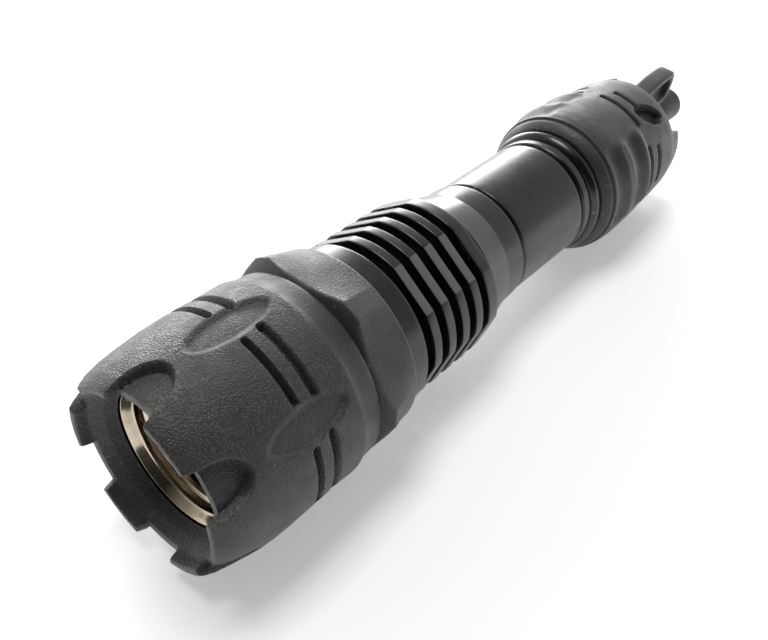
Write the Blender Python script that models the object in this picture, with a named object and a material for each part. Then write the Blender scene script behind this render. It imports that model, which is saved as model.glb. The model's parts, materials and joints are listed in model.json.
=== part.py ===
"""Tactical flashlight lying on its side: beam towards +X, tail towards -X, +Z up.

Stations are distances along the light's axis from the joint between head and battery tube,
positive towards the front. Angles are measured about the axis from straight up towards +Y.
Lengths are written in millimetres and turned into metres where a mesh is made.
"""

from math import cos, pi, radians, sin, tau

import bmesh
import bpy
from mathutils import Vector

MM = 0.001
GAP = 0.3  # clearance between pieces that touch on the real light

BOOT_SEGMENTS = 48  # rubber boots
SEGMENTS = 32  # metal pieces and the lens stack
FINE_RING = 24  # small inner pieces

# Driving dimensions
TUBE_R = 12.7
THREAD_R = 11.4
TUBE_BORE_R = 9.6
HALF_LENGTH = 84.0  # the head joint lies midway between the crown and the button's tip
BARREL_R = 19.6  # widest ring of the head boot, which the light rests on
SLEEVE_R = 15.6  # metal sleeve inside the head boot
CUP_R = 13.6  # bore that holds the lens stack and the heat sink
TAIL_SLEEVE_R = 13.0  # metal sleeve inside the tail boot

# Head boot
CROWN_INNER_R = 15.2
CROWN_THROAT = (78.0, 12.9)  # station and radius where the crown's funnel meets the bezel
POCKETS = 6
POCKET_TURN = 6.0  # angle of the first pocket and dimple
POCKET_HALF_WIDTH = 4.3
POCKET_REAR = 75.6
POCKET_FLOOR_R = 16.2
CROWN_STEP = 2.3  # the wall in front of a pocket stands this far behind the lands
DIMPLE_FRONT, DIMPLE_REAR = 71.9, 55.9
DIMPLE_HALF_WIDTH = 2.1
DIMPLE_FLOOR_R = 18.7
GRIP_SLOT_STATIONS = (64.8, 61.0)
GRIP_SLOT_HALF_ANGLE = 20.0
GRIP_SLOT_WIDTH, GRIP_SLOT_DEPTH = 1.3, 1.2
COLLAR_APOTHEM = 17.9
COLLAR_TURN = 5.0  # direction of the first flat
COLLAR_FRONT, COLLAR_REAR = 50.4, 39.7

# Reflector and LED
REFLECTOR_REAR, REFLECTOR_FRONT = 51.5, 68.0
REFLECTOR_HOLE_R, REFLECTOR_MOUTH_R = 3.4, 12.2
WIRE_OFFSET = 6.0

# Head housing
FIN_COUNT = 4
FIN_PITCH = 4.0
FIN_FRONT = 33.0
FIN_THICKNESS = 2.0
FIN_R = 16.5
FIN_ROOT_R = 12.6
FLAT_COUNT = 5
FLAT_TURN = 44.5
FLAT_APOTHEM = 15.8

# Battery and tube
BATTERY_R = 9.2
BATTERY_FRONT, BATTERY_REAR = 31.0, -33.6
TUBE_FRONT, TUBE_REAR = 14.2, -34.0
TUBE_SHOULDER = -21.65
O_RING_WIRE_R = 0.5
HEAD_O_RING_X, TAIL_O_RING_X = 11.0, -31.0

# Tail
TAILCAP_REAR = -55.3
SWITCH_BORE_R = 10.6
BOOT_FRONT, BOOT_RIM = -27.5, -64.2
BOWL_R = 11.4
BOWL_FLOOR_THICKNESS = 1.2  # rubber over the cap's end
NOTCH_RIM = -59.7
NOTCH_TURN = 27.0
NOTCH_HALF_ANGLE = 46.0
TAIL_SLOT_TURN = 24.5
TAIL_SLOT_STATIONS = (-46.4, -50.5)
TAIL_SLOT_HALF_ANGLE = 20.0
CORD_POCKET_X, CORD_POCKET_TURN = -53.4, 41.0
CORD_POCKET_LENGTH, CORD_POCKET_HALF_ANGLE = 6.0, 11.0
BUTTON_R = 4.1
BUTTON_FLANGE_REAR = -50.3
SWITCH_REAR = -44.4
STROKE = 1.5  # how far the button is pressed
LOOP_TURN = 11.0  # direction of the lanyard loop from the axis
LOOP_WIDTH = 3.6
LOOP_ARCH_SHARE = 0.6  # the band narrows to this share of its width at the arch's tip
LOOP_THICKNESS = 1.3
LOOP_FOOT, LOOP_ARCH = -57.1, -74.6
LOOP_OUTER_R, LOOP_INNER_R = 11.9, 5.1

AXIS_HEIGHT = BARREL_R * MM


def clear_scene():
    for leftover in list(bpy.data.objects):
        bpy.data.objects.remove(leftover, do_unlink=True)


def plain_material(name, colour, roughness, metallic=0.0, alpha=1.0):
    material = bpy.data.materials.new(name)
    material.use_nodes = True
    shader = material.node_tree.nodes["Principled BSDF"]
    shader.inputs["Base Color"].default_value = (*colour, 1.0)
    shader.inputs["Roughness"].default_value = roughness
    shader.inputs["Metallic"].default_value = metallic
    shader.inputs["Alpha"].default_value = alpha
    material.diffuse_color = (*colour, alpha)
    return material


def group(name, parent=None):
    """An empty on the light's axis, which the pieces of one moving group hang from."""
    empty = bpy.data.objects.new(name, None)
    empty.empty_display_size = 10 * MM
    bpy.context.scene.collection.objects.link(empty)
    if parent:
        empty.parent = parent
    else:
        empty.location = (0.0, 0.0, AXIS_HEIGHT)
    return empty


def finish(name, shape, material, parent, station=0.0):
    """Turns a bmesh, in millimetres about the axis, into an object whose origin is on the axis."""
    bmesh.ops.recalc_face_normals(shape, faces=shape.faces)
    bmesh.ops.translate(shape, vec=(-station, 0.0, 0.0), verts=shape.verts)
    bmesh.ops.scale(shape, vec=(MM, MM, MM), verts=shape.verts)
    mesh = bpy.data.meshes.new(name)
    shape.to_mesh(mesh)
    shape.free()
    mesh.shade_smooth()
    mesh.set_sharp_from_angle(angle=radians(35))
    piece = bpy.data.objects.new(name, mesh)
    bpy.context.scene.collection.objects.link(piece)
    if material:
        mesh.materials.append(material)
    piece.parent = parent
    piece.location = (station * MM, 0.0, 0.0)
    return piece


def around(radius, turn):
    """The (y, z) point at this radius and angle from straight up."""
    return radius * sin(turn), radius * cos(turn)


def add_turned(shape, outline, segments):
    """Turns a closed outline of (station, radius) points; a radius of 0 is a point on the axis."""
    turns = [tau * step / segments for step in range(segments)]
    rings = []
    for station, radius in outline:
        if radius == 0:
            rings.append([shape.verts.new((station, 0.0, 0.0))] * segments)
        else:
            rings.append([shape.verts.new((station, *around(radius, turn))) for turn in turns])
    for ring, following in zip(rings, rings[1:] + rings[:1]):
        for step in range(segments):
            beside = (step + 1) % segments
            corners = list(
                dict.fromkeys((ring[step], ring[beside], following[beside], following[step]))
            )
            if len(corners) > 2:
                shape.faces.new(corners)


def turned(name, outline, material, parent, segments=SEGMENTS, station=0.0):
    shape = bmesh.new()
    add_turned(shape, outline, segments)
    return finish(name, shape, material, parent, station)


def add_prism(shape, outline, low, high, turn):
    """Adds a flat outline of (station, sideways) points, extruded outwards from low to high."""
    out = Vector((0.0, *around(1.0, turn)))
    side = Vector((0.0, *around(1.0, turn + pi / 2)))
    floors = []
    for level in (low, high):
        floors.append(
            [shape.verts.new(Vector((x, 0.0, 0.0)) + side * s + out * level) for x, s in outline]
        )
    shape.faces.new(floors[0])
    shape.faces.new(floors[1])
    for step in range(len(outline)):
        beside = (step + 1) % len(outline)
        shape.faces.new((floors[0][step], floors[0][beside], floors[1][beside], floors[1][step]))


def add_arc_bar(shape, station, width, low, high, turn, half_angle, steps=6):
    """Adds a bar of rectangular section that follows part of a circle about the axis."""
    corners = [
        (station - width / 2, low),
        (station + width / 2, low),
        (station + width / 2, high),
        (station - width / 2, high),
    ]
    sections = []
    for step in range(steps + 1):
        angle = turn + half_angle * (2 * step / steps - 1)
        sections.append([shape.verts.new((x, *around(r, angle))) for x, r in corners])
    shape.faces.new(sections[0])
    shape.faces.new(sections[-1])
    for section, following in zip(sections, sections[1:]):
        for side in range(4):
            beside = (side + 1) % 4
            shape.faces.new((section[side], section[beside], following[beside], following[side]))


def add_wire(shape, rear, front, radius, offset, sides=10):
    """Adds a straight round rod that runs parallel to the axis."""
    ends = []
    for station in (rear, front):
        ends.append(
            [
                shape.verts.new((station, offset + radius * sin(turn), radius * cos(turn)))
                for turn in turns_of(sides, 0.0)
            ]
        )
    shape.faces.new(ends[0])
    shape.faces.new(ends[1])
    for step in range(sides):
        beside = (step + 1) % sides
        shape.faces.new((ends[0][step], ends[0][beside], ends[1][beside], ends[1][step]))


def cut(piece, name, shape):
    """Cuts a piece with the solids in a bmesh, which stay in the file as a hidden cutter."""
    cutter = finish(name, shape, None, piece.parent)
    cutter.hide_render = True
    cutter.display_type = "WIRE"
    boolean = piece.modifiers.new(name, "BOOLEAN")
    boolean.operation = "DIFFERENCE"
    boolean.solver = "EXACT"
    boolean.object = cutter


def turns_of(count, first):
    return [radians(first) + tau * step / count for step in range(count)]


def box_outline(rear, front, half_width):
    return [(rear, -half_width), (front, -half_width), (front, half_width), (rear, half_width)]


def rounded_outline(rear, front, half_width, round_front, steps=6):
    """A strip along the axis with a half-round rear end, and a half-round front if asked."""
    outline = []
    for step in range(steps + 1):
        angle = pi / 2 + pi * step / steps
        outline.append((rear + half_width * (1 + cos(angle)), half_width * sin(angle)))
    if not round_front:
        return outline + [(front, -half_width), (front, half_width)]
    for step in range(steps + 1):
        angle = -pi / 2 + pi * step / steps
        outline.append((front - half_width * (1 - cos(angle)), half_width * sin(angle)))
    return outline


def pocket_outline(steps=8):
    """The D of a crown pocket: straight sides that open at the front, one wide round rear."""
    depth = POCKET_HALF_WIDTH * 1.25
    centre = POCKET_REAR + depth
    outline = []
    for step in range(steps + 1):
        angle = pi / 2 + pi * step / steps
        outline.append((centre + depth * cos(angle), POCKET_HALF_WIDTH * sin(angle)))
    past_front = HALF_LENGTH + 1.0
    return outline + [(past_front, -POCKET_HALF_WIDTH), (past_front, POCKET_HALF_WIDTH)]


def coil(name, front, rear, radius, wire_r, turns, material, parent, end_radius=None):
    """A helical wire along the axis, closed at both ends."""
    per_turn, sides = 12, 5
    steps = int(per_turn * turns)
    shape = bmesh.new()
    sections = []
    end_radius = end_radius or radius
    for step in range(steps + 1):
        share = step / steps
        turn = tau * turns * share
        coil_r = radius + (end_radius - radius) * share
        centre_x = front - wire_r + (rear - front + 2 * wire_r) * share
        section = []
        for side in range(sides):
            angle = tau * side / sides
            ring_r = coil_r + wire_r * cos(angle)
            section.append(shape.verts.new((centre_x + wire_r * sin(angle), *around(ring_r, turn))))
        sections.append(section)
    shape.faces.new(sections[0])
    shape.faces.new(sections[-1])
    for section, following in zip(sections, sections[1:]):
        for side in range(sides):
            beside = (side + 1) % sides
            shape.faces.new((section[side], section[beside], following[beside], following[side]))
    return finish(name, shape, material, parent)


def o_ring(name, station, radius, material, parent, wire_r=O_RING_WIRE_R):
    sides = 6
    outline = []
    for side in range(sides):
        angle = tau * side / sides
        outline.append((station + wire_r * cos(angle), radius + wire_r * sin(angle)))
    return turned(name, outline, material, parent, FINE_RING)


# ---------------------------------------------------------------- head


def head_boot(parent, material):
    """Rubber boot over the head: notched crown, barrel with grip slots, six-sided collar."""
    throat_x, throat_r = CROWN_THROAT
    bore_r = SLEEVE_R + GAP
    outline = [
        (HALF_LENGTH, CROWN_INNER_R),
        (HALF_LENGTH, 16.7),
        (83.4, 17.3),
        (81.6, 18.2),
        (79.0, 18.8),
        (74.0, 19.4),
        (68.0, BARREL_R),
        (62.0, BARREL_R),
        (54.4, 19.3),
        (53.4, 19.0),
        (49.4, 18.35),
        (47.6, 20.4),
        (40.1, 18.9),
        (COLLAR_REAR, 18.5),
        (COLLAR_REAR, bore_r),
        (throat_x - 0.1, bore_r),
        (throat_x - 0.1, throat_r),
        (throat_x, throat_r),
    ]
    boot = turned("head_boot", outline, material, parent, BOOT_SEGMENTS)

    pockets, step_backs, dimples, slots, flats = (bmesh.new() for _ in range(5))
    for turn in turns_of(POCKETS, POCKET_TURN):
        add_prism(pockets, pocket_outline(), POCKET_FLOOR_R, BARREL_R + 2, turn)
        step_back = box_outline(
            HALF_LENGTH - CROWN_STEP, HALF_LENGTH + 1.5, POCKET_HALF_WIDTH - 0.35
        )
        add_prism(step_backs, step_back, 12.0, POCKET_FLOOR_R + 0.7, turn)
        strip = rounded_outline(DIMPLE_REAR, DIMPLE_FRONT, DIMPLE_HALF_WIDTH, True)
        add_prism(dimples, strip, DIMPLE_FLOOR_R, BARREL_R + 2, turn)
    slot_spread = radians(GRIP_SLOT_HALF_ANGLE)
    floor_r = BARREL_R - GRIP_SLOT_DEPTH
    for turn in turns_of(POCKETS, POCKET_TURN + 180 / POCKETS):
        for station in GRIP_SLOT_STATIONS:
            add_arc_bar(
                slots, station, GRIP_SLOT_WIDTH, floor_r, BARREL_R + 2, turn, slot_spread
            )
    for turn in turns_of(6, COLLAR_TURN):
        face = box_outline(COLLAR_REAR - 1, COLLAR_FRONT, 10.0)
        add_prism(flats, face, COLLAR_APOTHEM, BARREL_R + 3, turn)
    cut(boot, "collar_flats_cutter", flats)
    cut(boot, "crown_pockets_cutter", pockets)
    cut(boot, "crown_steps_cutter", step_backs)
    cut(boot, "dimples_cutter", dimples)
    cut(boot, "grip_slots_cutter", slots)
    return boot


def head_housing(parent, material):
    """Aluminium head: sleeve under the boot, cooling fins, and a cone down to the tube."""
    outline = [(76.0, CUP_R), (76.0, SLEEVE_R), (39.4, SLEEVE_R), (39.4, 16.45), (35.0, 16.45)]
    outline.append((35.0, FIN_ROOT_R))
    for fin in range(FIN_COUNT):
        front = FIN_FRONT - fin * FIN_PITCH
        rear = front - FIN_THICKNESS
        outline += [(front, FIN_ROOT_R), (front, FIN_R), (rear, FIN_R), (rear, FIN_ROOT_R)]
    cone_front = FIN_FRONT - FIN_COUNT * FIN_PITCH
    rear_face = GAP / 2
    outline += [
        (cone_front, FIN_ROOT_R),
        (cone_front, 16.4),
        (13.9, 15.8),
        (13.6, 15.3),
        (6.4, 13.5),
        (6.2, 13.2),
        (1.2, 12.95),
        (rear_face, 12.5),
        (rear_face, THREAD_R + GAP),
        (TUBE_FRONT + GAP, THREAD_R + GAP),
        (TUBE_FRONT + GAP, 9.9),
        (36.0, 9.9),
        (36.0, CUP_R),
    ]
    housing = turned("head_housing", outline, material, parent)
    flats = bmesh.new()
    for turn in turns_of(FLAT_COUNT, FLAT_TURN):
        face = box_outline(13.7, FIN_FRONT + 0.5, 6.0)
        add_prism(flats, face, FLAT_APOTHEM, FIN_R + 2, turn)
    cut(housing, "fin_flats_cutter", flats)
    return housing


def bezel_ring(parent, material):
    outline = [
        (77.6, 12.4),
        (77.6, 15.3),
        (76.3, 15.3),
        (76.3, CUP_R - GAP),
        (72.9, CUP_R - GAP),
        (72.9, 11.5),
        (76.4, 11.5),
        (76.7, 11.9),
    ]
    return turned("bezel_ring", outline, material, parent)


def lens_and_seal(parent, glass, rubber):
    outer = CUP_R - 0.4
    turned("lens_seal", [(72.6, 11.9), (72.6, outer), (71.6, outer), (71.6, 11.9)], rubber, parent)
    turned("front_lens", [(71.3, 0), (71.3, outer), (69.3, outer), (69.3, 0)], glass, parent)


def reflector(parent, material):
    """A parabolic cup with its flange held between lens and heat sink."""
    spread = (REFLECTOR_MOUTH_R**2 - REFLECTOR_HOLE_R**2) / (REFLECTOR_FRONT - REFLECTOR_REAR)
    steps = 6
    inside = []
    for step in range(steps + 1):
        radius = REFLECTOR_HOLE_R + (REFLECTOR_MOUTH_R - REFLECTOR_HOLE_R) * step / steps
        inside.append((REFLECTOR_REAR + (radius**2 - REFLECTOR_HOLE_R**2) / spread, radius))
    wall = 0.9
    outside = [(station - 0.4, radius + wall) for station, radius in inside[1:]]
    flange = [(69.0, REFLECTOR_MOUTH_R), (69.0, CUP_R - 0.4), (67.9, CUP_R - 0.4)]
    outline = inside + flange + outside[::-1] + [(REFLECTOR_REAR, REFLECTOR_HOLE_R + wall)]
    return turned("reflector", outline, material, parent)


def led_stack(parent, shades):
    """The LED with its board, insulator, heat sink, driver board and contact spring."""
    gasket = [(51.2, 3.6), (51.2, 7.0), (50.6, 7.0), (50.6, 3.6)]
    turned("led_gasket", gasket, shades["white_plastic"], parent, FINE_RING)

    emitter = bmesh.new()
    corner_r, dome_r, dome_sides, dome_steps = 3.1, 1.7, 16, 4
    base = [
        [emitter.verts.new((x, *around(corner_r, turn))) for turn in turns_of(4, 45.0)]
        for x in (50.6, 51.3)
    ]
    rings = []
    for level in range(dome_steps):
        rise = pi / 2 * level / dome_steps
        rings.append(
            [
                emitter.verts.new((51.3 + dome_r * sin(rise), *around(dome_r * cos(rise), turn)))
                for turn in turns_of(dome_sides, 45.0)
            ]
        )
    tip = emitter.verts.new((51.3 + dome_r, 0.0, 0.0))
    emitter.faces.new(base[0])
    for corner in range(4):
        beside = (corner + 1) % 4
        emitter.faces.new((base[0][corner], base[0][beside], base[1][beside], base[1][corner]))
        for step in range(4 * corner - 2, 4 * corner + 2):
            emitter.faces.new((base[1][corner], rings[0][step], rings[0][step + 1]))
        emitter.faces.new((base[1][corner], base[1][beside], rings[0][4 * corner + 2]))
    for ring, following in zip(rings, rings[1:]):
        for step in range(dome_sides):
            beside = (step + 1) % dome_sides
            emitter.faces.new((ring[step], ring[beside], following[beside], following[step]))
    for step in range(dome_sides):
        emitter.faces.new((rings[-1][step], rings[-1][(step + 1) % dome_sides], tip))
    finish("led_emitter", emitter, shades["led"], parent)

    board = [(50.3, 0), (50.3, 9.0), (48.7, 9.0), (48.7, 0)]
    turned("led_board", board, shades["circuit_board"], parent, FINE_RING)

    sink = [
        (48.4, 0),
        (48.4, CUP_R - GAP),
        (36.3, CUP_R - GAP),
        (36.3, 11.0),
        (44.0, 11.0),
        (44.0, 0),
    ]
    heat_sink = turned("heat_sink", sink, shades["bare_aluminium"], parent)
    holes = bmesh.new()
    for side in (-1, 1):
        add_wire(holes, 43.0, 49.0, 0.9, side * WIRE_OFFSET)
    cut(heat_sink, "wire_holes_cutter", holes)
    for name, side in (("led_wire_red", 1), ("led_wire_black", -1)):
        wire = bmesh.new()
        add_wire(wire, 38.5, 48.4, 0.55, side * WIRE_OFFSET)
        finish(name, wire, shades[name], parent)

    driver = [(38.2, 0), (38.2, 10.7), (36.8, 10.7), (36.8, 0)]
    turned("driver_board", driver, shades["circuit_board"], parent, FINE_RING)
    coil("driver_spring", 36.5, 32.6, 4.2, 0.35, 3.5, shades["gold"], parent, end_radius=2.6)


# ---------------------------------------------------------------- tube and battery


def battery_tube(parent, material):
    """Tube with a threaded neck and an O-ring groove at each end."""
    floor_r = 10.05
    half_groove = O_RING_WIRE_R + GAP
    shoulder_front = -GAP / 2
    outline = [
        (TUBE_FRONT, TUBE_BORE_R),
        (TUBE_FRONT, THREAD_R - 0.4),
        (TUBE_FRONT - 0.4, THREAD_R),
        (HEAD_O_RING_X + half_groove, THREAD_R),
        (HEAD_O_RING_X + half_groove, floor_r),
        (HEAD_O_RING_X - half_groove, floor_r),
        (HEAD_O_RING_X - half_groove, THREAD_R),
        (shoulder_front, THREAD_R),
        (shoulder_front, TUBE_R - 0.3),
        (shoulder_front - 0.3, TUBE_R),
        (TUBE_SHOULDER + 0.4, TUBE_R),
        (TUBE_SHOULDER, TUBE_R - 0.4),
        (TUBE_SHOULDER, THREAD_R),
        (TAIL_O_RING_X + half_groove, THREAD_R),
        (TAIL_O_RING_X + half_groove, floor_r),
        (TAIL_O_RING_X - half_groove, floor_r),
        (TAIL_O_RING_X - half_groove, THREAD_R),
        (TUBE_REAR + 0.4, THREAD_R),
        (TUBE_REAR, THREAD_R - 0.4),
        (TUBE_REAR, TUBE_BORE_R),
    ]
    return turned("battery_tube", outline, material, parent)


def battery(parent, wrap, metal):
    front, rear = BATTERY_FRONT, BATTERY_REAR
    cell = [
        (front, 0),
        (front, BATTERY_R - 0.6),
        (front - 0.6, BATTERY_R),
        (front - 2.4, BATTERY_R),
        (front - 2.8, BATTERY_R - 0.3),
        (front - 3.6, BATTERY_R - 0.3),
        (front - 4.0, BATTERY_R),
        (rear + 0.5, BATTERY_R),
        (rear, BATTERY_R - 0.5),
        (rear, 0),
    ]
    turned("battery_cell", cell, wrap, parent, FINE_RING)
    cap_front, cap_rear = front + 1.2, front + GAP
    cap = [(cap_front, 0), (cap_front, 3.1), (cap_rear, 3.4), (cap_rear, 0)]
    turned("battery_positive_cap", cap, metal, parent, FINE_RING)


# ---------------------------------------------------------------- tail


def tailcap_housing(parent, material):
    """Aluminium cap: two bright rings, thread for the tube, and a cavity for the switch."""
    front = TUBE_SHOULDER - GAP
    thread_r = THREAD_R + GAP
    seat = BUTTON_FLANGE_REAR - GAP
    outline = [
        (front, thread_r),
        (front, 12.5),
        (front - 0.4, 12.9),
        (-24.2, 12.9),
        (-24.4, 12.6),
        (-24.8, 12.9),
        (-27.2, 13.6),
        (-27.2, TAIL_SLEEVE_R),
        (TAILCAP_REAR, TAIL_SLEEVE_R),
        (TAILCAP_REAR, 4.7),
        (seat - 1.1, 4.7),
        (seat - 1.1, 7.9),
        (seat, 7.9),
        (seat, SWITCH_BORE_R),
        (-36.0, SWITCH_BORE_R),
        (-36.0, thread_r),
    ]
    return turned("tailcap_housing", outline, material, parent)


def tail_boot(parent, material):
    """Rubber boot over the tail: front lip, slotted barrel, notched rim round a bowl."""
    bore_r = TAIL_SLEEVE_R + GAP
    floor_front = TAILCAP_REAR - GAP
    bowl_floor = floor_front - BOWL_FLOOR_THICKNESS
    outline = [
        (BOOT_FRONT, bore_r),
        (BOOT_FRONT, 13.9),
        (-28.2, 14.8),
        (-29.2, 15.3),
        (-29.7, 15.3),
        (-30.0, 15.0),
        (-30.3, 15.5),
        (-32.2, 16.1),
        (-35.5, 16.3),
        (-42.0, 16.0),
        (-48.0, 15.5),
        (-54.0, 15.1),
        (-59.0, 14.4),
        (-62.0, 13.7),
        (BOOT_RIM, 12.9),
        (BOOT_RIM, BOWL_R),
        (bowl_floor, BOWL_R),
        (bowl_floor, 5.2),
        (floor_front, 5.2),
        (floor_front, bore_r),
    ]
    boot = turned("tail_boot", outline, material, parent, BOOT_SEGMENTS)

    notches, slots, pocket = (bmesh.new() for _ in range(3))
    middle = (NOTCH_RIM + BOOT_RIM - 1) / 2
    width = NOTCH_RIM - BOOT_RIM + 1
    for turn in turns_of(2, NOTCH_TURN):
        add_arc_bar(notches, middle, width, 8.0, 16.0, turn, radians(NOTCH_HALF_ANGLE), 12)
    slot_spread = radians(TAIL_SLOT_HALF_ANGLE)
    for turn in turns_of(POCKETS, TAIL_SLOT_TURN):
        for station in TAIL_SLOT_STATIONS:
            add_arc_bar(slots, station, 1.2, 14.0, 18.0, turn, slot_spread)
    pocket_turn, pocket_spread = radians(CORD_POCKET_TURN), radians(CORD_POCKET_HALF_ANGLE)
    add_arc_bar(
        pocket, CORD_POCKET_X, CORD_POCKET_LENGTH, 13.8, 18.0, pocket_turn, pocket_spread, 4
    )
    cut(boot, "rim_notches_cutter", notches)
    cut(boot, "tail_slots_cutter", slots)
    cut(boot, "cord_pocket_cutter", pocket)
    return boot


def lanyard_loop(parent, material):
    """A flat band bent into a U, with its two feet on the floor of the tail bowl."""
    wide = Vector((0.0, *around(1.0, radians(LOOP_TURN + 90))))
    inward = Vector((0.0, *around(1.0, radians(LOOP_TURN + 180))))
    route = [(LOOP_FOOT, -10.0), (-61.0, -10.1), (-68.5, -11.5)]
    half_widths = [LOOP_WIDTH / 2] * len(route)
    arch_r = (LOOP_OUTER_R - LOOP_INNER_R) / 2
    steps = 8
    for step in range(steps + 1):
        turn = pi * step / steps
        offset = arch_r * (1 - cos(turn)) - LOOP_OUTER_R
        route.append((LOOP_ARCH - arch_r * sin(turn), offset))
        half_widths.append(LOOP_WIDTH / 2 * (1 - (1 - LOOP_ARCH_SHARE) * sin(turn)))
    route.append((LOOP_FOOT, -LOOP_INNER_R))
    half_widths.append(LOOP_WIDTH / 2)

    shape = bmesh.new()
    sections = []
    for step, (spot, half_width) in enumerate(zip(map(Vector, route), half_widths)):
        before = Vector(route[max(step - 1, 0)])
        after = Vector(route[min(step + 1, len(route) - 1)])
        along = (after - before).normalized()
        outward = Vector((-along.y, along.x)) * LOOP_THICKNESS / 2
        section = []
        for side, edge in ((-1, -1), (1, -1), (1, 1), (-1, 1)):
            corner = spot + outward * side
            place = Vector((corner.x, 0.0, 0.0)) + inward * corner.y + wide * edge * half_width
            section.append(shape.verts.new(place))
        sections.append(section)
    shape.faces.new(sections[0])
    shape.faces.new(sections[-1])
    for section, following in zip(sections, sections[1:]):
        for side in range(4):
            beside = (side + 1) % 4
            shape.faces.new((section[side], section[beside], following[beside], following[side]))
    return finish("lanyard_loop", shape, material, parent)


def switch_stack(fixed, moving, shades):
    """Clip ring, circuit board and switch, then the plunger, spring, seal and button."""
    ring = [(-36.3, 7.4), (-36.3, SWITCH_BORE_R - GAP), (-38.0, SWITCH_BORE_R - GAP), (-38.0, 7.4)]
    turned("retaining_ring", ring, shades["brass"], fixed, FINE_RING)
    board = [(-38.3, 0), (-38.3, 10.2), (-39.7, 10.2), (-39.7, 0)]
    turned("switch_board", board, shades["circuit_board"], fixed, FINE_RING)
    rear = SWITCH_REAR
    body = [(-40.0, 0), (-40.0, 6.0), (rear, 6.0), (rear, 2.0), (-42.0, 2.0), (-42.0, 0)]
    turned("switch_body", body, shades["switch_plastic"], fixed, FINE_RING)

    flange_front = BUTTON_FLANGE_REAR + 1.1
    tip_front = -42.0 - GAP - STROKE
    plunger = [(tip_front, 0), (tip_front, 1.6), (flange_front + GAP, 1.6), (flange_front + GAP, 0)]
    turned("switch_plunger", plunger, shades["white_plastic"], moving, 16)
    pressed_flange = flange_front + STROKE
    steel = shades["spring_steel"]
    coil("button_spring", rear - GAP, pressed_flange + GAP, 3.4, 0.28, 2.0, steel, fixed)
    seat = BUTTON_FLANGE_REAR - GAP
    seal = [(seat - 0.1, 5.0), (seat - 0.1, 7.5), (seat - 0.8, 7.5), (seat - 0.8, 5.0)]
    turned("button_seal", seal, shades["seal_rubber"], fixed, FINE_RING)

    end = -HALF_LENGTH
    button = [
        (flange_front, 0),
        (flange_front, 7.3),
        (BUTTON_FLANGE_REAR, 7.3),
        (BUTTON_FLANGE_REAR, BUTTON_R),
        (end + 1.0, BUTTON_R),
        (end + 0.3, BUTTON_R - 0.3),
        (end, BUTTON_R - 1.0),
        (end, 0),
    ]
    turned("switch_button", button, shades["button_rubber"], moving, FINE_RING)


def tail_spring(parent, material):
    coil("tail_spring", BATTERY_REAR - GAP, -38.0, 3.2, 0.4, 3.0, material, parent, 5.0)


def make_materials():
    return {
        "grip_rubber": plain_material("grip_rubber", (0.07, 0.068, 0.066), 0.72),
        "black_anodised": plain_material("black_anodised", (0.02, 0.021, 0.022), 0.28, 0.9),
        "bezel_steel": plain_material("bezel_steel", (0.72, 0.7, 0.66), 0.18, 1.0),
        "lens_glass": plain_material("lens_glass", (0.9, 0.95, 0.95), 0.03, 0.0, 0.3),
        "reflector_bright": plain_material("reflector_bright", (0.9, 0.9, 0.9), 0.06, 1.0),
        "led": plain_material("led", (0.9, 0.75, 0.2), 0.3),
        "white_plastic": plain_material("white_plastic", (0.8, 0.8, 0.78), 0.5),
        "circuit_board": plain_material("circuit_board", (0.05, 0.25, 0.12), 0.4),
        "bare_aluminium": plain_material("bare_aluminium", (0.78, 0.79, 0.8), 0.35, 1.0),
        "gold": plain_material("gold", (0.85, 0.65, 0.25), 0.25, 1.0),
        "led_wire_red": plain_material("led_wire_red", (0.6, 0.03, 0.03), 0.5),
        "led_wire_black": plain_material("led_wire_black", (0.02, 0.02, 0.02), 0.5),
        "seal_rubber": plain_material("seal_rubber", (0.015, 0.015, 0.015), 0.6),
        "battery_wrap": plain_material("battery_wrap", (0.08, 0.2, 0.5), 0.3),
        "battery_metal": plain_material("battery_metal", (0.75, 0.75, 0.74), 0.25, 1.0),
        "brass": plain_material("brass", (0.75, 0.58, 0.28), 0.3, 1.0),
        "switch_plastic": plain_material("switch_plastic", (0.03, 0.03, 0.03), 0.45),
        "spring_steel": plain_material("spring_steel", (0.6, 0.6, 0.6), 0.25, 1.0),
        "button_rubber": plain_material("button_rubber", (0.02, 0.02, 0.02), 0.5),
    }


def make_flashlight():
    clear_scene()
    shades = make_materials()

    head = group("head_group")
    tube = group("tube_group", head)
    spring_slide = group("tail_spring_group", tube)
    tail = group("tail_group", spring_slide)
    pressed = group("button_group", tail)

    head_boot(head, shades["grip_rubber"])
    bezel_ring(head, shades["bezel_steel"])
    lens_and_seal(head, shades["lens_glass"], shades["seal_rubber"])
    reflector(head, shades["reflector_bright"])
    led_stack(head, shades)
    head_housing(head, shades["black_anodised"])

    ring_r = THREAD_R + GAP - 0.35 - O_RING_WIRE_R
    o_ring("head_o_ring", HEAD_O_RING_X, ring_r, shades["seal_rubber"], tube)
    battery_tube(tube, shades["black_anodised"])
    battery(tube, shades["battery_wrap"], shades["battery_metal"])
    o_ring("tail_o_ring", TAIL_O_RING_X, ring_r, shades["seal_rubber"], tube)

    tail_spring(spring_slide, shades["gold"])
    tailcap_housing(tail, shades["black_anodised"])
    tail_boot(tail, shades["grip_rubber"])
    lanyard_loop(tail, shades["grip_rubber"])
    switch_stack(tail, pressed, shades)


make_flashlight()
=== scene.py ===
"""Looks of the tactical flashlight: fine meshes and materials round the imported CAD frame.

Stations run along the light's axis from the joint between head and battery tube, positive
towards the front. Angles are measured about the axis from straight up towards +Y. Shapes are
worked out in millimetres and scaled to metres when a mesh is made.
"""

import json
from math import cos, pi, radians, sin, tau

import bpy
import numpy as np
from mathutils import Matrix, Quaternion, Vector


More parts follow.
